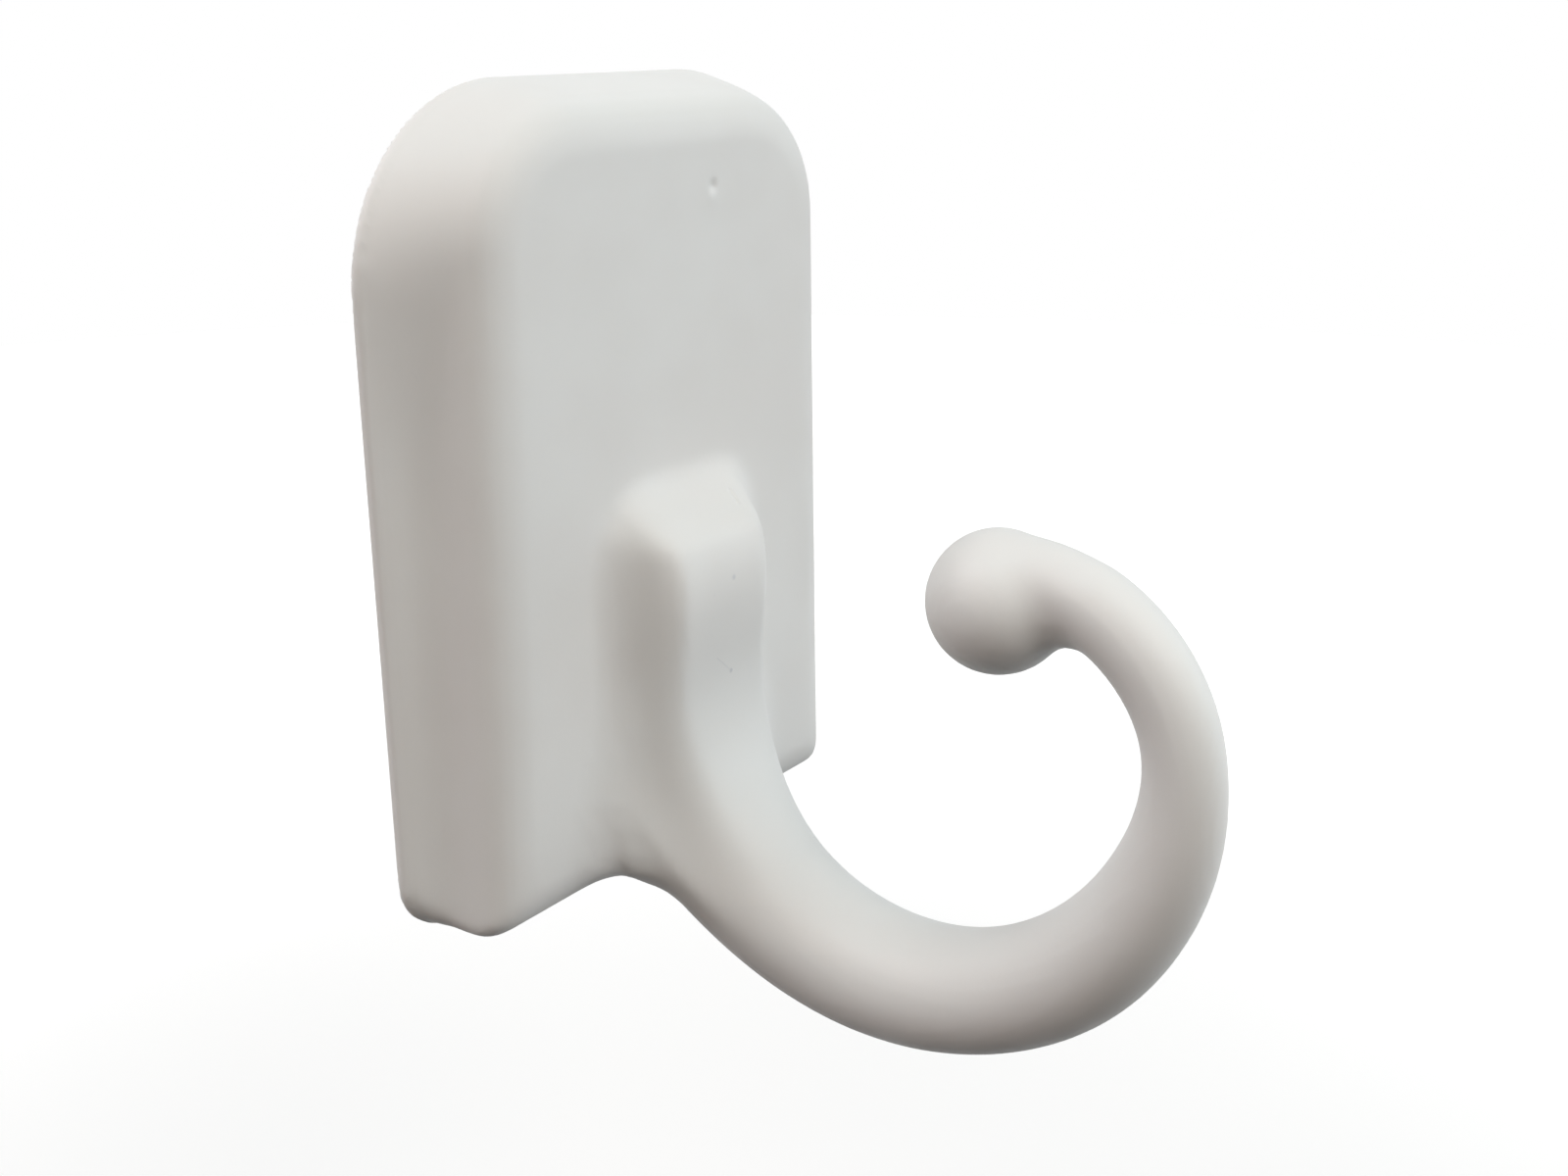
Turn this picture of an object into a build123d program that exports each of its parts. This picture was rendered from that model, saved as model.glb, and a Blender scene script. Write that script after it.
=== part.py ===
"""Adhesive tieback hook: a one-piece moulded plate, rib and curled hook on a foam adhesive pad.

Millimetres and degrees. X runs across the plate, -Y out from the wall and +Z up.
The origin is the middle of the pad's face that sticks to the wall.
"""

import os
from math import cos, radians, sin, sqrt, tan

from build123d import *

# Adhesive pad, set in from the plate's edge all round
pad_thickness = 0.8
pad_margin = 1.5
pad_corner_radius = 1.0

# Back plate: a tombstone with a thin rim at the wall and a hollow cove up to its front panel
plate_width = 25.2
plate_height = 32.6
plate_thickness = 4.2
plate_top_radius = 7.4
plate_bottom_radius = 2.7
panel_top_radius = 5.4
panel_bottom_radius = 0.6
rim_thickness = 0.3
side_cove = 2.3
panel_flare = 0.85
top_cove = 0.6
bottom_cove = 0.1
front_edge_radius = 1.8

# Rib: a soft-sided ridge that swells out of the plate's front
rib_projection = 2.3
rib_width = 11.4
rib_height = 17.7
rib_slope = 3.4
rib_lag = 1.2
rib_top_radius = 1.6
rib_sink = 0.25
rib_embed = 2.6
crown_width = 6.0
crown_edge = 0.65
root_width = 9.0
edge_fullness = 0.65
root_fullness = 0.6
heel_fullness = 0.6

# Web: the rib's flanks run on down behind the hook, a little inside the rib, to near the plate's bottom edge
web_inset = 0.2
web_overlap = 2.0
web_clearance = 0.9
web_rise = 0.5

# Hook: the rod's centre line drops, turns through the bowl and curls over the tip
bowl_radius = 11.85
bowl_height = 9.55
bowl_turn = 176.0
tip_radius = 6.6
tip_turn = 104.5
rod_diameter = 6.8
rise_diameter = 3.8
neck_diameter = 2.9
collar_diameter = 3.1
neck_start = 135.0
neck_end = 195.0
rounding_turn = 72.0
ball_diameter = 5.4
ball_offset = 1.05

# Sections that shape the cove, the rib and the hook
cove_steps = 3
edge_steps = 2
slope_steps = 6
bowl_steps = 9
tip_steps = 5
web_steps = 4

# Places worked out from the sizes
plate_back = pad_thickness
plate_front = plate_back + plate_thickness
plate_bottom = -plate_height / 2
rib_foot = plate_front - rib_sink
rib_back = plate_front - rib_embed
rib_front = plate_front + rib_projection
rib_top = plate_bottom + rib_height
rod_radius = rod_diameter / 2
rise_radius = rise_diameter / 2
neck_radius = neck_diameter / 2
collar_radius = collar_diameter / 2
ball_radius = ball_diameter / 2
leg_depth = rib_front - rod_radius
bowl_centre = Vector(0, -leg_depth - bowl_radius, plate_bottom + bowl_height)
tip_end = bowl_turn + tip_turn


def mix(start, end, share):
    """Value this share of the way from start to end."""
    return start + (end - start) * share


def ease(share):
    """Smooth step from 0 to 1."""
    held = min(max(share, 0.0), 1.0)
    return held * held * (3 - 2 * held)


def radial(turn):
    """Unit vector from the centre of a bend to the rod, once the rod has turned this far."""
    return Vector(0, cos(radians(turn)), -sin(radians(turn)))


def rod_plane(turn):
    """Plane across the rod after this turn, facing along it, with its Y towards the inside of the bend."""
    centre = bowl_centre
    radius = bowl_radius
    if turn > bowl_turn:
        centre = bowl_centre + radial(bowl_turn) * (bowl_radius - tip_radius)
        radius = tip_radius
    along = Vector(0, -sin(radians(turn)), -cos(radians(turn)))
    return Plane(centre + radial(turn) * radius, x_dir=(1, 0, 0), z_dir=along)


def rod_size(turn):
    """Radius of the rod after this turn: it thins up to the neck, then swells a little at the ball."""
    taper = mix(rod_radius, rise_radius, min(turn / bowl_turn, 1.0))
    neck = ease((turn - neck_start) / (neck_end - neck_start))
    collar = ease((turn - neck_end) / (tip_end - neck_end))
    return taper + (neck_radius - rise_radius) * neck + (collar_radius - neck_radius) * collar


def toward(start, end, share):
    """Point this share of the way from start to end."""
    return (mix(start[0], end[0], share), mix(start[1], end[1], share))


def arc(radius, start, end):
    """Cubic curve along a circle, between two angles from its top."""
    low, high = radians(start), radians(end)
    handle = 4 / 3 * tan((high - low) / 4) * radius
    first = (radius * sin(low), radius * cos(low))
    last = (radius * sin(high), radius * cos(high))
    leave = (first[0] + handle * cos(low), first[1] - handle * sin(low))
    arrive = (last[0] - handle * cos(high), last[1] + handle * sin(high))
    return [first, leave, arrive, last]


def section(plane, crown, foot_half, radius, rounding):
    """Section across the rib, rounding 0, across the round rod, rounding 1, or part of the way between them.

    Each side of the rib has a flat crown, a rounded edge and a hollow flank to its foot inside the plate.
    """
    size = foot_half / (rib_width / 2)
    middle = (0, crown - leg_depth)
    crown_corner = (size * crown_width / 2, crown - leg_depth)
    root_corner = (size * root_width / 2, rib_foot - leg_depth)
    foot = (foot_half, rib_foot - leg_depth)
    heel_corner = (foot_half, rib_back - leg_depth)
    heel = (0, rib_back - leg_depth)
    edge_share = crown_edge / (crown_width / 2)
    flank_share = crown_edge / ((root_width - crown_width) / 2)
    edge_start = toward(crown_corner, middle, edge_share)
    edge_end = toward(crown_corner, root_corner, flank_share)
    rib_side = [
        [
            middle,
            toward(middle, edge_start, 1 / 3),
            toward(crown_corner, middle, edge_share * (1 + edge_fullness)),
            edge_start,
        ],
        [
            edge_start,
            toward(crown_corner, middle, edge_share * (1 - edge_fullness)),
            toward(crown_corner, root_corner, flank_share * (1 - edge_fullness)),
            edge_end,
        ],
        [
            edge_end,
            toward(crown_corner, root_corner, flank_share * (1 + edge_fullness)),
            toward(foot, root_corner, root_fullness),
            foot,
        ],
        [foot, toward(foot, heel_corner, heel_fullness), toward(heel, heel_corner, heel_fullness), heel],
    ]
    rod_side = [arc(radius, 0, 30), arc(radius, 30, 60), arc(radius, 60, 90), arc(radius, 90, 180)]
    right_side = [[toward(p, q, rounding) for p, q in zip(*pair)] for pair in zip(rib_side, rod_side)]
    left_side = [[(-x, y) for x, y in reversed(curve)] for curve in reversed(right_side)]
    outline = Wire([Edge.make_bezier(*curve) for curve in right_side + left_side])
    return plane.location * Face(outline)


def plate_outline(cove, inset):
    """Outline of the plate, cove 0 at its rim and 1 at its panel, drawn in by the inset."""
    head = plate_width / 2 - side_cove * cove - inset
    base = head + panel_flare * cove
    high = plate_height / 2 - top_cove * cove - inset
    low = plate_bottom + bottom_cove * cove + inset
    Polygon((-base, low), (base, low), (head, high), (-head, high), align=None)
    fillet(vertices().group_by(Axis.Y)[-1], mix(plate_top_radius, panel_top_radius, cove) - inset)
    fillet(vertices().group_by(Axis.Y)[0], mix(plate_bottom_radius, panel_bottom_radius, cove))


# One-piece moulding: plate, rib, hook and ball
with BuildPart() as hook:
    with BuildSketch(Plane.XZ.offset(plate_back)):
        plate_outline(0, 0)
    extrude(amount=rim_thickness)

    # The cove narrows the plate in a hollow curve from the rim, and a quarter round turns to the front panel
    cove_start = plate_back + rim_thickness
    cove_end = plate_front - front_edge_radius
    for step in range(cove_steps + 1):
        reach = step / cove_steps
        with BuildSketch(Plane.XZ.offset(mix(cove_start, cove_end, reach))):
            plate_outline(1 - (1 - reach) ** 2, 0)
    for step in range(1, edge_steps + 1):
        turn = radians(90 * step / edge_steps)
        with BuildSketch(Plane.XZ.offset(cove_end + front_edge_radius * sin(turn))):
            plate_outline(1, front_edge_radius * (1 - cos(turn)))
    loft()

    # The rib swells out of the plate down its round-cornered top
    sections = []
    for step in range(slope_steps + 1):
        fall = step / slope_steps
        drop = rib_slope * fall
        corner = rib_top_radius - min(drop, rib_top_radius)
        foot_half = rib_width / 2 - rib_top_radius + sqrt(rib_top_radius**2 - corner**2)
        level = Plane((0, -leg_depth, rib_top - drop), x_dir=(1, 0, 0), z_dir=(0, 0, -1))
        crown = mix(rib_foot + rib_sink / 2, rib_front, ease(fall**rib_lag))
        sections.append(section(level, crown, foot_half, rod_radius, 0))
    # It runs down the plate and rounds off into the rod, which thins round the bowl and curls over the tip
    bowl_turns = [bowl_turn * step / bowl_steps for step in range(bowl_steps + 1)]
    tip_turns = [bowl_turn + tip_turn * step / tip_steps for step in range(1, tip_steps + 1)]
    for turn in bowl_turns + tip_turns:
        radius = rod_size(turn)
        rounding = ease(turn / rounding_turn)
        sections.append(section(rod_plane(turn), leg_depth + radius, rib_width / 2, radius, rounding))
    loft(sections)

    # The web falls back to the plate as it nears the bottom edge
    web_sections = []
    web_top = bowl_centre.Z + web_overlap
    web_bottom = plate_bottom + web_clearance
    for step in range(web_steps + 1):
        fall = step / web_steps
        level = Plane((0, -leg_depth, mix(web_top, web_bottom, fall)), x_dir=(1, 0, 0), z_dir=(0, 0, -1))
        crown = mix(rib_front - web_inset, plate_front + web_rise, fall**3)
        web_sections.append(section(level, crown, rib_width / 2 - web_inset, rod_radius, 0))
    loft(web_sections)

    # The ball sits to the inside of the bend
    with Locations(rod_plane(tip_end).from_local_coords((0, ball_offset, 0))):
        Sphere(ball_radius)
hook.part.label = "hook"

# Double-sided foam pad on the plate's flat back
with BuildPart() as adhesive_pad:
    with BuildSketch(Plane.XZ) as pad_outline:
        Rectangle(plate_width - 2 * pad_margin, plate_height - 2 * pad_margin)
        fillet(pad_outline.vertices().group_by(Axis.Y)[-1], plate_top_radius - pad_margin)
        fillet(pad_outline.vertices().group_by(Axis.Y)[0], pad_corner_radius)
    extrude(amount=pad_thickness)
adhesive_pad.part.label = "adhesive_pad"

os.makedirs("parts", exist_ok=True)
export_step(hook.part, "parts/hook.step")
export_step(adhesive_pad.part, "parts/adhesive_pad.step")
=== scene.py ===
"""Looks of the adhesive tieback hook: a satin white moulding on a foam adhesive pad.

Metres. X runs across the plate, -Y out from the wall and +Z up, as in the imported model.
"""

from math import asin, atan2, cos, exp, hypot, pi, radians, sin, sqrt, tan

import bpy
import bmesh
from mathutils import Matrix, Vector, noise


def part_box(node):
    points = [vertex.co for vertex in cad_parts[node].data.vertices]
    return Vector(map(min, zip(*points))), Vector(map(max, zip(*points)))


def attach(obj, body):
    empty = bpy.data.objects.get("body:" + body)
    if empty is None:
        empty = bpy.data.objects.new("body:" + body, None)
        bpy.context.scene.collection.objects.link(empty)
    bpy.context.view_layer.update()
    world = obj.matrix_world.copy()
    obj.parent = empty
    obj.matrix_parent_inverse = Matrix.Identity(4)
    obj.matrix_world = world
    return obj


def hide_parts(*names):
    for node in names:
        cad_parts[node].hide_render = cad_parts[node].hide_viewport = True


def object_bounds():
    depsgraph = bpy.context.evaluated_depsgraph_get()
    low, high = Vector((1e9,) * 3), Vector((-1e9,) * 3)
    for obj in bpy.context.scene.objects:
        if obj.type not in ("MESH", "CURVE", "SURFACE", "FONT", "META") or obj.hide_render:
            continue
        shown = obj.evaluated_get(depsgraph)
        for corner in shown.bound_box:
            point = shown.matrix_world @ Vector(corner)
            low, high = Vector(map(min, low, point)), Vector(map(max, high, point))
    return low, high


MM = 0.001
white = (1, 1, 1, 1)

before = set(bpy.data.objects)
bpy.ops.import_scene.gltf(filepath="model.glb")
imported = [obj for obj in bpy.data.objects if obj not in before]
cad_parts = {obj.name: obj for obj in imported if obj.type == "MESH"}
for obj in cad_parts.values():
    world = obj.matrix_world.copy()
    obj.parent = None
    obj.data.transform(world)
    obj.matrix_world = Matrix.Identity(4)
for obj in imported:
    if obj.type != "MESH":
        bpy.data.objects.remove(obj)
cad_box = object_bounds()
hook_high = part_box("hook")[1]
scene = bpy.context.scene

# Camera: the photograph's viewpoint, read from the plate's outline
image_width = 1600
focal_pixels = 1754.7
sensor_width = 36.0
camera_near = 1.0 * MM
camera_azimuth = -53.73
camera_elevation = 18.65
camera_place = Vector((-52.06, -48.52, 18.70)) * MM

# Moulding: how finely its skin is divided, how it is smoothed, and how round its inner corners are
weld_distance = 0.001 * MM
skin_voxel = 0.2 * MM
skin_fairing = 6
skin_softening = 2
smooth_pull = 0.5
smooth_push = -0.52
corner_fill = 1.0 * MM
fill_limit = 2.0 * MM

# Web under the rib: its fillet, and the heights, width and reach within which it is drawn out
web_fill = 3.0 * MM
web_top = -6.0 * MM
web_full = -12.0 * MM
web_side = 9.0 * MM
web_start = -3.0 * MM
web_reach = -16.0 * MM
web_fade = 3.0 * MM

# Ball's neck: eased on its upper side, where the skin faces up
neck_place = Vector((0, -22.0, 0.9)) * MM
neck_reach = 2.6 * MM
neck_softening = 40
neck_facing_start = -0.1
neck_facing_full = 0.4

# Head of the plate: its cove fades out over the top corners, between the rim and the panel's round edge
head_start = 1.0 * MM
head_full = 12.5 * MM
head_bulge = 0.12 * MM
head_softening = 16
head_depth = 4.5 * MM
panel_half = 10.4 * MM
panel_top = 15.7 * MM
panel_radius = 5.4 * MM
edge_radius = 1.8 * MM
edge_depth = 3.2 * MM

# Rim: its outline, how far from the wall its edge lies, and the bands within which it is evened out
rim_half = hook_high[0]
rim_top = hook_high[2]
rim_bottom = -rim_top
rim_top_radius = 7.4 * MM
rim_bottom_radius = 2.4 * MM
rim_depth = 1.3 * MM
rim_blend = 0.3 * MM
rim_facing = 0.4
rim_edge = 1.05 * MM
rim_fade = 0.1 * MM
rim_soft = 0.02 * MM
rim_width = 0.6 * MM
rim_softening = 4
rim_rounds = 3

# Marks on the moulding: a dent in the plate with a lip under it, and a nick in the rib's sloping top
dent_place = Vector((2.52, -5.0, 12.0)) * MM
dent_radius = 0.24 * MM
dent_depth = 0.08 * MM
lip_place = Vector((2.42, -5.0, 11.5)) * MM
lip_radius = 0.40 * MM
lip_height = 0.03 * MM
nick_start = Vector((2.29, -5.86, -0.30)) * MM
nick_end = Vector((2.22, -6.32, -0.72)) * MM
nick_radius = 0.09 * MM
nick_depth = 0.05 * MM
mark_reach = 0.9 * MM
mark_cuts = 3

# Specks on the rib's front, each with its place and radius in millimetres, and a hair scratch
specks = [((0.40, -7.4, -3.30), 0.20), ((-0.90, -7.4, -3.72), 0.14), ((0.40, -7.3, -7.42), 0.14)]
speck_core = 0.35
scratch_start = Vector((-0.52, -7.3, -6.59)) * MM
scratch_end = Vector((0.40, -7.3, -7.42)) * MM
scratch_width = 0.05 * MM
scratch_strength = 0.45

# White plastic: its tones, the grey of its specks, noises by features per metre, gloss, grain and scatter
plastic_tone = (0.800, 0.802, 0.794, 1)
plastic_drift_tone = (0.784, 0.778, 0.768, 1)
speck_tone = (0.64, 0.65, 0.67, 1)
drift_scale = 90
cloud_scale = 380
grain_scale = 5200
drift_range = (0.35, 0.65)
cloud_range = (0.3, 0.7)
plastic_roughness = (0.46, 0.56)
cloud_height = 2.0
plastic_bump = 0.02 * MM
plastic_bump_strength = 0.10
plastic_ior = 1.49
scatter_weight = 0.08
scatter_colour = (1.0, 0.9, 0.8)
scatter_depth = 0.4 * MM

# Foam pad: how its cut edge draws in at mid thickness, and how uneven it is
pad_voxel = 0.2 * MM
pad_softening = 2
pad_waist = 0.14 * MM
pad_uneven = 0.06 * MM
pad_grain = 0.9 * MM
pad_fine_grain = 0.35 * MM
pad_fine_share = 0.6
pad_grain_lift = 0.5

# Foam: tones of its body, its pores and the tacky film on the face that turns to the wall
foam_tone = (0.80, 0.79, 0.75, 1)
pore_tone = (0.60, 0.58, 0.53, 1)
film_tone = (0.80, 0.79, 0.74, 1)
film_drift_tone = (0.74, 0.72, 0.65, 1)
cell_scale = 4200
film_scale = 260
pore_range = (0.35, 0.75)
film_facing = (0.6, 0.95)
foam_roughness = 0.85
film_roughness = (0.34, 0.5)
foam_bump = 0.05 * MM
foam_bump_strength = 0.5

# Soft lamps round the hook: where each stands as seen from it, its power in watts, its width and its tint
lamp_distance = 0.5
lamp_aim = Vector((0, -12, -3)) * MM
lamps = [
    ("front_high", 0, 40, 1.57, 0.45, (1.0, 0.955, 0.90)),
    ("front_right", 45, 10, 1.02, 0.45, (0.85, 0.95, 1.0)),
    ("back_left", -135, 40, 1.28, 0.45, (1.0, 0.93, 0.94)),
    ("left", -90, 40, 0.60, 0.45, (1.0, 0.70, 0.52)),
    ("top_left", -90, 68, 0.54, 0.45, (0.45, 0.88, 1.0)),
    ("back", 180, 5, 0.90, 0.45, (1.0, 1.0, 1.0)),
]
world_strength = 0.03

# Floor, well under the hook: its tone, the light it sends back, and a glow that rises to white farther out
floor_drop = 40 * MM
floor_radius = 0.4
floor_sides = 96
floor_tone = 0.45
floor_bounce = 0.02
floor_glow = 0.56
glow_start = 0.04
glow_full = 0.2


def link(name, data):
    """New object with this mesh, lamp or camera, in the scene."""
    piece = bpy.data.objects.new(name, data)
    scene.collection.objects.link(piece)
    return piece


def bake(piece):
    """Applies the piece's modifiers to its mesh."""
    graph = bpy.context.evaluated_depsgraph_get()
    piece.data = bpy.data.meshes.new_from_object(piece.evaluated_get(graph))
    piece.modifiers.clear()
    piece.vertex_groups.clear()


def add_voxels(piece, size):
    """Remeshes everything the piece holds into one closed skin of even quads."""
    skin = piece.modifiers.new("skin", "REMESH")
    skin.mode = "VOXEL"
    skin.voxel_size = size
    skin.use_smooth_shade = True


def add_smooth(piece, factor, rounds):
    """Smooths the piece's points, and gives the modifier that does it."""
    smooth = piece.modifiers.new("smooth", "SMOOTH")
    smooth.factor = factor
    smooth.iterations = rounds
    return smooth


def add_skin(piece):
    """One skin, faired of its steps. It keeps its size, because a push out follows each pull in."""
    add_voxels(piece, skin_voxel)
    for _ in range(skin_fairing):
        add_smooth(piece, smooth_pull, 1)
        add_smooth(piece, smooth_push, 1)


def add_swell(piece, distance):
    """Moves the piece's skin out by the distance."""
    swell = piece.modifiers.new("swell", "DISPLACE")
    swell.direction = "NORMAL"
    swell.mid_level = 0
    swell.strength = distance


def closed(name, solid, fill):
    """The solid in one skin, its inner corners filled by swelling it and drawing it back."""
    piece = link(name, solid)
    add_skin(piece)
    for distance in (fill, -fill):
        add_swell(piece, distance)
        add_skin(piece)
    bake(piece)
    return piece


def welded_solid():
    """The hook's solid as one closed mesh."""
    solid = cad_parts["hook"].data.copy()
    solid.materials.clear()
    welded = bmesh.new()
    welded.from_mesh(solid)
    bmesh.ops.remove_doubles(welded, verts=welded.verts, dist=weld_distance)
    welded.to_mesh(solid)
    welded.free()
    return solid


def rise(value, start, full):
    """Smooth step from 0 where the value is at the start to 1 where it is at the full one."""
    share = min(max((value - start) / (full - start), 0.0), 1.0)
    return share * share * (3 - 2 * share)


def web_share(co, normal):
    """How far a point of the web is drawn out to its fuller fillet."""
    down = rise(co.z, web_top, web_full)
    across = rise(abs(co.x), web_side, web_side - web_fade)
    out = rise(co.y, web_reach, web_reach + web_fade)
    front = rise(co.y, web_start, web_start - web_fade)
    return down * across * out * front


def neck_share(co, normal):
    """How far a point of the ball's neck is eased."""
    near = rise((co - neck_place).length, neck_reach, neck_reach / 2)
    return near * rise(normal.z, neck_facing_start, neck_facing_full)


def head_share(co, normal):
    """How far a point of the plate's head is eased."""
    return rise(co.z, head_start, head_full) * rise(-co.y, head_depth, head_depth / 2)


def rim_band(co):
    """1 near the wall, falling to 0 at the rim's depth."""
    return rise(-co.y, rim_depth, rim_depth - rim_blend)


def rim_share(co, normal):
    """How far a point of the rim's edge is eased."""
    off = rim_place(co.x, co.z)[0]
    return rim_band(co) * rise(off, -rim_width, -rim_width / 2)


def share_group(piece, name, share):
    """Name of a new vertex group that holds each point's share."""
    group = piece.vertex_groups.new(name=name)
    for v in piece.data.vertices:
        weight = share(v.co, v.normal)
        if weight > 0:
            group.add([v.index], weight, "REPLACE")
    return group.name


def soften(piece, rounds, share=None):
    """Smooths the piece's points, each by its share where one is given."""
    smooth = add_smooth(piece, smooth_pull, rounds)
    if share:
        smooth.vertex_group = share_group(piece, "soften", share)
    bake(piece)


def draw_out(piece, fuller, share):
    """Moves each point by its share of the way out to the fuller skin."""
    draw = piece.modifiers.new("draw_out", "SHRINKWRAP")
    draw.target = fuller
    draw.wrap_method = "PROJECT"
    draw.use_positive_direction = True
    draw.use_negative_direction = False
    draw.project_limit = fill_limit
    draw.vertex_group = share_group(piece, "draw_out", share)
    bake(piece)


def outline_place(x, z, half, top, radius):
    """Distance of a point outside a round-topped outline, and the way out from it."""
    side = abs(x) - (half - radius)
    end = z - (top - radius)
    facing = 1 if x > 0 else -1
    if side > 0 and end > 0:
        reach = hypot(side, end)
        return reach - radius, Vector((facing * side / reach, 0, end / reach))
    if side > end:
        return side - radius, Vector((facing, 0, 0))
    return end - radius, Vector((0, 0, 1))


def rim_place(x, z):
    """Distance of a point outside the rim's outline, and the way out from it."""
    if z > 0:
        return outline_place(x, z, rim_half, rim_top, rim_top_radius)
    off, out = outline_place(x, -z, rim_half, -rim_bottom, rim_bottom_radius)
    return off, Vector((out.x, 0, -out.z))


def fill_head(piece):
    """Fills the cove at the plate's head with a shoulder from the rim to the panel's round edge."""
    deep = edge_depth - rim_edge
    for v in piece.data.vertices:
        depth = -v.co.y
        weight = rise(v.co.z, head_start, head_full) * rise(depth, rim_edge, rim_edge + rim_fade)
        inside = -outline_place(v.co.x, v.co.z, rim_half, rim_top, rim_top_radius)[0]
        if weight == 0 or inside <= 0:
            continue
        # The shoulder is a line from the rim's edge that just touches the round edge, with a slight bulge
        panel_off = outline_place(v.co.x, v.co.z, panel_half, panel_top, panel_radius)[0]
        across = inside + panel_off + edge_radius
        far = hypot(across, deep)
        if far <= edge_radius:
            continue
        slope = atan2(across, deep) - asin(edge_radius / far)
        reach = sqrt(far**2 - edge_radius**2) * sin(slope)
        if inside < reach:
            share = inside / reach
            shoulder = rim_edge + inside / tan(slope) + head_bulge * 4 * share * (1 - share)
            v.co.y -= weight * max(shoulder - depth, 0)


def even_rim(piece):
    """Sets the rim's edge on its outline all round."""
    normals = [v.normal.copy() for v in piece.data.vertices]
    for v, normal in zip(piece.data.vertices, normals):
        if v.co.y > -rim_depth:
            off, out = rim_place(v.co.x, v.co.z)
            lip = rise(normal.dot(out), 0, rim_facing) * rim_band(v.co)
            v.co -= out * (off + rim_soft) * lip


def away(point, start, end):
    """Distance from a point to the line between two others."""
    line = end - start
    share = min(max((point - start).dot(line) / line.length_squared, 0.0), 1.0)
    return (point - start - line * share).length


def hump(distance, radius):
    """1 at no distance, falling off softly about the radius."""
    return exp(-((distance / radius) ** 2))


def mark(piece):
    """Presses the dent and the nick into the skin, which is divided more finely there."""
    skin = bmesh.new()
    skin.from_mesh(piece.data)
    nick_middle = (nick_start + nick_end) / 2
    for place in (dent_place, nick_middle):
        near = [e for e in skin.edges if all((v.co - place).length < mark_reach for v in e.verts)]
        bmesh.ops.subdivide_edges(skin, edges=near, cuts=mark_cuts, use_grid_fill=True)
    for v in skin.verts:
        dent = hump((v.co - dent_place).length, dent_radius)
        lip = hump((v.co - lip_place).length, lip_radius)
        nick = hump(away(v.co, nick_start, nick_end), nick_radius)
        v.co += v.normal * (lip_height * lip - dent_depth * dent - nick_depth * nick)
    skin.to_mesh(piece.data)
    skin.free()


def make_moulding():
    """The hook in one skin, with its fuller web, eased neck and head, even rim and small marks."""
    solid = welded_solid()
    fuller = closed("fuller_web", solid, web_fill)
    piece = closed("hook_moulding", solid, corner_fill)
    draw_out(piece, fuller, web_share)
    bpy.data.objects.remove(fuller)
    fill_head(piece)
    soften(piece, neck_softening, neck_share)
    soften(piece, head_softening, head_share)
    soften(piece, skin_softening)
    for _ in range(rim_rounds):
        soften(piece, rim_softening, rim_share)
        even_rim(piece)
    mark(piece)
    piece.data.shade_smooth()
    piece.data.materials.append(white_plastic())
    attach(piece, "root")
    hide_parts("hook")


def make_pad():
    """The foam pad: its cut edge draws in at mid thickness and is uneven, and its faces stay flat."""
    low, high = (Vector(c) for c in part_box("adhesive_pad"))
    piece = link("foam_pad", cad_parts["adhesive_pad"].data.copy())
    piece.data.materials.clear()
    add_voxels(piece, pad_voxel)
    add_smooth(piece, smooth_pull, pad_softening)
    bake(piece)
    middle = (low.y + high.y) / 2
    half = (high.y - low.y) / 2
    outwards = [Vector((v.normal.x, 0, v.normal.z)) for v in piece.data.vertices]
    for v, outward in zip(piece.data.vertices, outwards):
        depth = (v.co.y - middle) / half
        grain = noise.noise(v.co / pad_grain) + pad_fine_share * noise.noise(v.co / pad_fine_grain)
        draw = pad_waist * (1 - depth * depth) + pad_uneven * max(grain + pad_grain_lift, 0)
        v.co -= outward * draw
        v.co.y = min(max(v.co.y, low.y), high.y)
    piece.data.shade_smooth()
    piece.data.materials.append(foam())
    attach(piece, "root")
    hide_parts("adhesive_pad")


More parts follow.
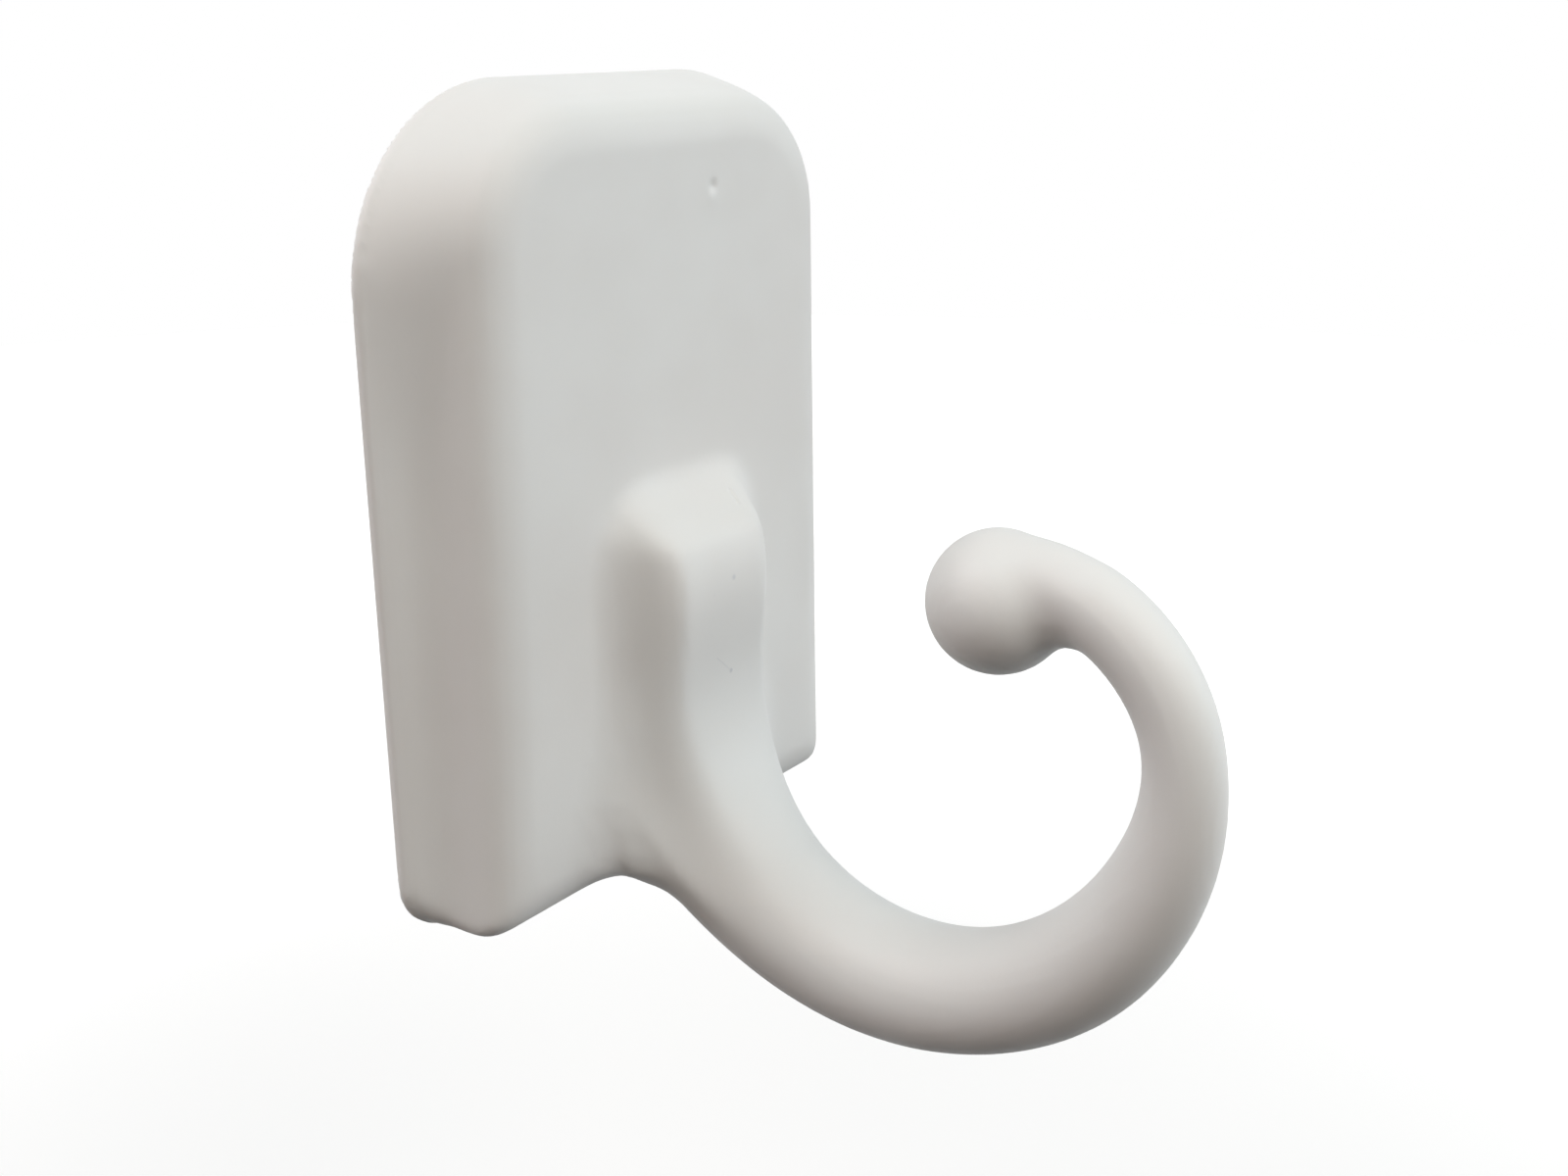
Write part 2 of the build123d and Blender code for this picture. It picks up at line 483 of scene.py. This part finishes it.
class Nodes:
    """Nodes of a material or a world, added by type and joined as they are made."""

    def __init__(self, owner):
        owner.use_nodes = True
        self.tree = owner.node_tree

    def add(self, kind, inputs=None, **settings):
        """New node with these settings. An input is a number, a tuple or another node's output."""
        node = self.tree.nodes.new("ShaderNode" + kind)
        for name, value in settings.items():
            setattr(node, name, value)
        for socket, value in (inputs or {}).items():
            self.join(node.inputs[socket], value)
        return node

    def join(self, socket, value):
        """Links another node's output to the socket, or sets the socket to a number or a tuple."""
        if isinstance(value, bpy.types.NodeSocket):
            self.tree.links.new(value, socket)
        else:
            socket.default_value = value

    def noise(self, place, scale, detail):
        """Noise from 0 to 1 with features of about 1/scale metres."""
        return self.add("TexNoise", {"Vector": place, "Scale": scale, "Detail": detail}).outputs["Fac"]

    def ramp(self, value, source, target=(0.0, 1.0)):
        """The value's source range made into the target range, with soft ends."""
        ends = dict(zip(("From Min", "From Max", "To Min", "To Max"), source + target))
        node = self.add("MapRange", {"Value": value, **ends}, interpolation_type="SMOOTHSTEP")
        return node.outputs["Result"]

    def math(self, operation, *values):
        """Result of a sum on two or three numbers."""
        return self.add("Math", dict(enumerate(values)), operation=operation).outputs[0]

    def vector(self, operation, first, second):
        """Node for a sum on two vectors."""
        return self.add("VectorMath", {0: first, 1: second}, operation=operation)

    def distance(self, first, second):
        """Distance between two places."""
        return self.vector("DISTANCE", first, second).outputs["Value"]

    def line_distance(self, place, start, end):
        """Distance from a place to the line between two points."""
        line = end - start
        along = self.vector("SUBTRACT", place, start).outputs["Vector"]
        share = self.vector("DOT_PRODUCT", along, line / line.length_squared).outputs["Value"]
        held = self.add("Clamp", {"Value": share}).outputs[0]
        foot = self.add("VectorMath", {0: line, "Scale": held}, operation="SCALE").outputs["Vector"]
        return self.distance(along, foot)

    def blend(self, share, first, second):
        """Colour between two colours."""
        node = self.add("Mix", {"Factor": share}, data_type="RGBA")
        colours = [socket for socket in node.inputs if socket.type == "RGBA"]
        self.join(colours[0], first)
        self.join(colours[1], second)
        return next(socket for socket in node.outputs if socket.type == "RGBA")

    def speck(self, place, centre, radius):
        """1 in the core of a speck, falling to 0 at its radius."""
        return self.ramp(self.distance(place, centre), (radius * speck_core, radius), (1.0, 0.0))

    def background_rays(self):
        """1 for the rays that show the background: from the camera, and from gloss or through glass."""
        rays = self.add("LightPath").outputs
        shown = self.math("MAXIMUM", rays["Is Camera Ray"], rays["Is Glossy Ray"])
        return self.math("MAXIMUM", shown, rays["Is Transmission Ray"])


def white_plastic():
    """Satin white moulding plastic: faint drifts of tone and gloss, a fine grain and a few small marks."""
    material = bpy.data.materials.new("white_plastic")
    n = Nodes(material)
    shader = n.tree.nodes["Principled BSDF"].inputs
    place = n.add("TexCoord").outputs["Object"]
    drift = n.noise(place, drift_scale, 3)
    cloud = n.noise(place, cloud_scale, 2)
    grain = n.noise(place, grain_scale, 2)
    tone = n.blend(n.ramp(drift, drift_range), plastic_tone, plastic_drift_tone)
    off = n.line_distance(place, scratch_start, scratch_end)
    dirt = n.ramp(off, (0.0, scratch_width), (scratch_strength, 0.0))
    for centre, radius in specks:
        dirt = n.math("MAXIMUM", dirt, n.speck(place, Vector(centre) * MM, radius * MM))
    n.join(shader["Base Color"], n.blend(dirt, tone, speck_tone))
    n.join(shader["Roughness"], n.ramp(cloud, cloud_range, plastic_roughness))
    height = n.math("MULTIPLY_ADD", cloud, cloud_height, grain)
    bump = n.add("Bump", {"Strength": plastic_bump_strength, "Distance": plastic_bump, "Height": height})
    n.join(shader["Normal"], bump.outputs["Normal"])
    shader["IOR"].default_value = plastic_ior
    shader["Subsurface Weight"].default_value = scatter_weight
    shader["Subsurface Radius"].default_value = scatter_colour
    shader["Subsurface Scale"].default_value = scatter_depth
    return material


def foam():
    """Closed-cell foam: round cells, darker pores between them, and a smoother tacky face at the wall."""
    material = bpy.data.materials.new("foam")
    n = Nodes(material)
    shader = n.tree.nodes["Principled BSDF"].inputs
    coords = n.add("TexCoord").outputs
    place = coords["Object"]
    cells = n.add("TexVoronoi", {"Vector": place, "Scale": cell_scale}).outputs["Distance"]
    cloud = n.noise(place, film_scale, 3)
    facing = n.add("SeparateXYZ", {"Vector": coords["Normal"]}).outputs["Y"]
    tacky = n.ramp(facing, film_facing)
    body = n.blend(n.ramp(cells, pore_range), foam_tone, pore_tone)
    film = n.blend(n.ramp(cloud, drift_range), film_tone, film_drift_tone)
    n.join(shader["Base Color"], n.blend(tacky, body, film))
    gloss = n.ramp(cloud, cloud_range, film_roughness)
    rough = n.add("Mix", {"Factor": tacky, "A": foam_roughness, "B": gloss}, data_type="FLOAT")
    n.join(shader["Roughness"], rough.outputs["Result"])
    bump = n.add("Bump", {"Strength": foam_bump_strength, "Distance": foam_bump, "Height": cells})
    n.join(shader["Normal"], bump.outputs["Normal"])
    return material


def toward(azimuth, elevation):
    """Direction from the hook to a place round it, azimuth 0 out from the wall and 90 to +X."""
    turn, tilt = radians(azimuth), radians(elevation)
    return Vector((sin(turn) * cos(tilt), -cos(turn) * cos(tilt), sin(tilt)))


def make_camera():
    """Camera at the photograph's viewpoint, looking the way it looked."""
    back = toward(camera_azimuth, camera_elevation)
    right = Vector((cos(radians(camera_azimuth)), sin(radians(camera_azimuth)), 0))
    up = back.cross(right)
    turn = Matrix((right, up, back)).transposed()
    data = bpy.data.cameras.new("camera")
    data.sensor_fit = "HORIZONTAL"
    data.sensor_width = sensor_width
    data.lens = focal_pixels / image_width * sensor_width
    data.clip_start = camera_near
    camera = link("camera", data)
    camera.matrix_world = Matrix.Translation(camera_place) @ turn.to_4x4()
    scene.camera = camera


def grey(tone):
    """Grey of this tone."""
    return (tone, tone, tone, 1)


def make_floor():
    """Pale floor: white behind the hook, with its shadow, and dim in the light it sends back up."""
    low = cad_box[0][2] - floor_drop
    turns = [2 * pi * step / floor_sides for step in range(floor_sides)]
    edge = [(floor_radius * cos(turn), floor_radius * sin(turn), low) for turn in turns]
    mesh = bpy.data.meshes.new("floor")
    mesh.from_pydata(edge, [], [range(floor_sides)])
    floor = link("floor", mesh)
    material = bpy.data.materials.new("floor")
    n = Nodes(material)
    off = n.distance(n.add("TexCoord").outputs["Object"], (0, 0, low))
    strength = n.ramp(off, (glow_start, glow_full), (floor_glow, 1.0))
    glow = n.add("Emission", {"Color": white, "Strength": strength})
    lit = n.add("BsdfDiffuse", {"Color": grey(floor_tone)})
    pale = n.add("AddShader", {0: lit.outputs[0], 1: glow.outputs[0]})
    dim = n.add("BsdfDiffuse", {"Color": grey(floor_bounce)})
    mixed = n.add("MixShader", {0: n.background_rays(), 1: dim.outputs[0], 2: pale.outputs[0]})
    n.join(n.tree.nodes["Material Output"].inputs["Surface"], mixed.outputs[0])
    mesh.materials.append(material)


def make_world():
    """White behind the hook, and a faint even light on it."""
    world = bpy.data.worlds.new("world")
    n = Nodes(world)
    light = n.tree.nodes["Background"]
    light.inputs["Color"].default_value = white
    light.inputs["Strength"].default_value = world_strength
    backdrop = n.add("Background", {"Color": white})
    mixed = n.add("MixShader", {0: n.background_rays(), 1: light.outputs[0], 2: backdrop.outputs[0]})
    n.join(n.tree.nodes["World Output"].inputs["Surface"], mixed.outputs[0])
    scene.world = world


def make_lamps():
    """The soft round lamps, each turned to the hook."""
    for name, azimuth, elevation, power, width, tint in lamps:
        data = bpy.data.lights.new(name, "AREA")
        data.shape = "DISK"
        data.size = width
        data.energy = power
        data.color = tint
        lamp = link(name, data)
        out = toward(azimuth, elevation)
        lamp.location = lamp_aim + out * lamp_distance
        lamp.rotation_mode = "QUATERNION"
        lamp.rotation_quaternion = out.to_track_quat("Z", "Y")


make_moulding()
make_pad()
make_camera()
make_floor()
make_world()
make_lamps()
scene.view_settings.view_transform = "Standard"
